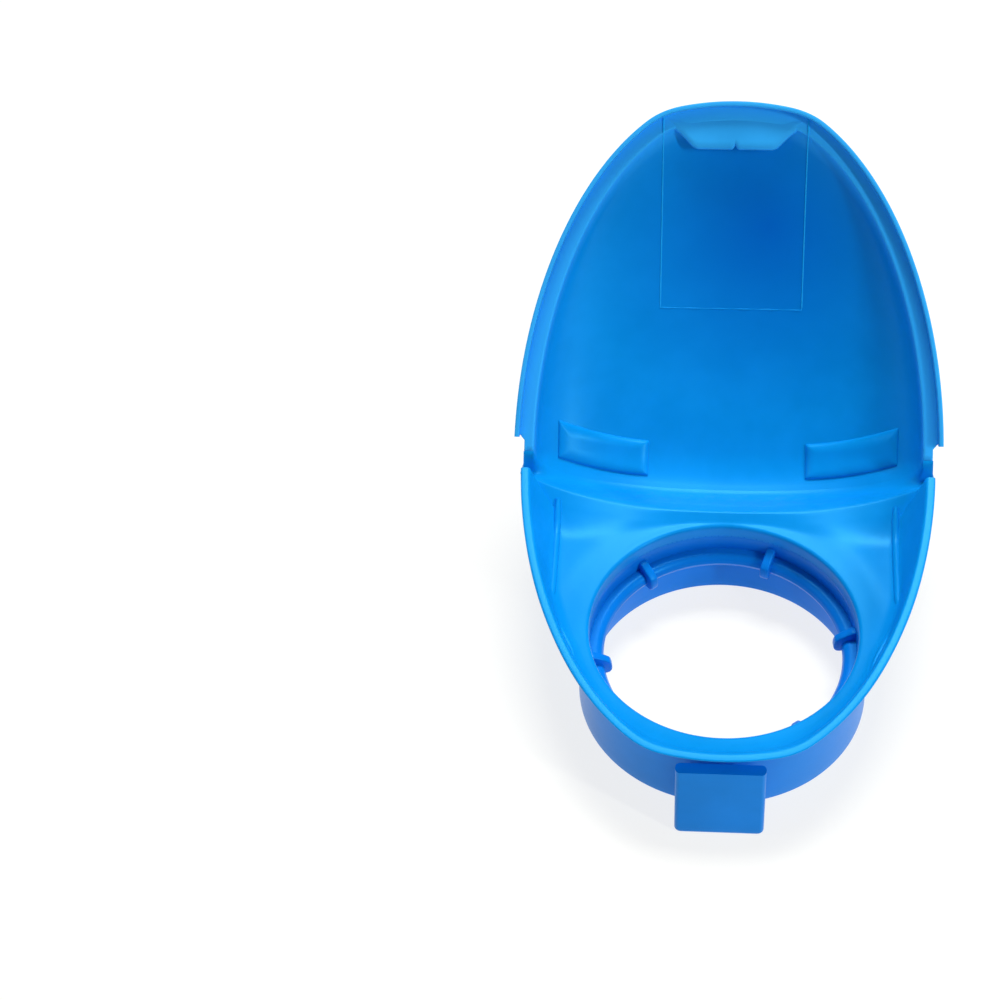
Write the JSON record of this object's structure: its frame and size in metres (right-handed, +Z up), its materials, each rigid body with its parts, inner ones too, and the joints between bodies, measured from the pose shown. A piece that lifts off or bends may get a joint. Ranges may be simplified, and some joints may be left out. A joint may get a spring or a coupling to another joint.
{
  "type": "filler cap with fold-out funnel",
  "caption": "Push-on filler neck cap in soft plastic whose dished lid folds back on a thin web to make a wide pouring funnel.",
  "frame": {"origin": "on the collar's axis, in the plane of the collar's lower end", "axes": "+Z up along the collar's axis, +Y towards the fold and the open lid, +X to the right of someone facing the front tab; the lid is open"},
  "size_m": [0.1076, 0.1517, 0.1039],
  "materials": {
    "soft_blue": "satin soft moulding",
    "neck_blue": "satin soft moulding, inside the neck",
    "web_blue": "smoother thin web",
    "rim_blue": "brighter thin edge",
    "mark_blue": "smooth raised mark"
  },
  "bodies": {
    "base": {"neck_collar": "soft_blue", "base_scoop": "soft_blue", "retaining_bead": "neck_blue", "grip_lug_1": "neck_blue", "grip_lug_2": "neck_blue", "grip_lug_3": "neck_blue", "grip_lug_4": "neck_blue", "grip_lug_5": "neck_blue", "grip_lug_6": "neck_blue", "front_tab": "soft_blue", "floor_rib_left": "soft_blue", "floor_rib_right": "soft_blue", "hinge_web": "web_blue"},
    "lid": {"lid_shell": "soft_blue", "lid_skirt": "rim_blue", "latch_lip": "rim_blue", "snap_pad_left": "soft_blue", "snap_pad_right": "soft_blue", "panel_bead": "mark_blue", "washer_symbol": "mark_blue", "fill_symbol": "mark_blue", "open_arrow": "mark_blue"}
  },
  "joints": [
    {"name": "lid_fold", "type": "hinge", "parent": "base", "child": "lid", "pos_m": [0, 0.044, 0.0385], "axis": [1, 0, 0], "range_deg": [0, 142], "deforming": ["hinge_web"]}
  ]
}
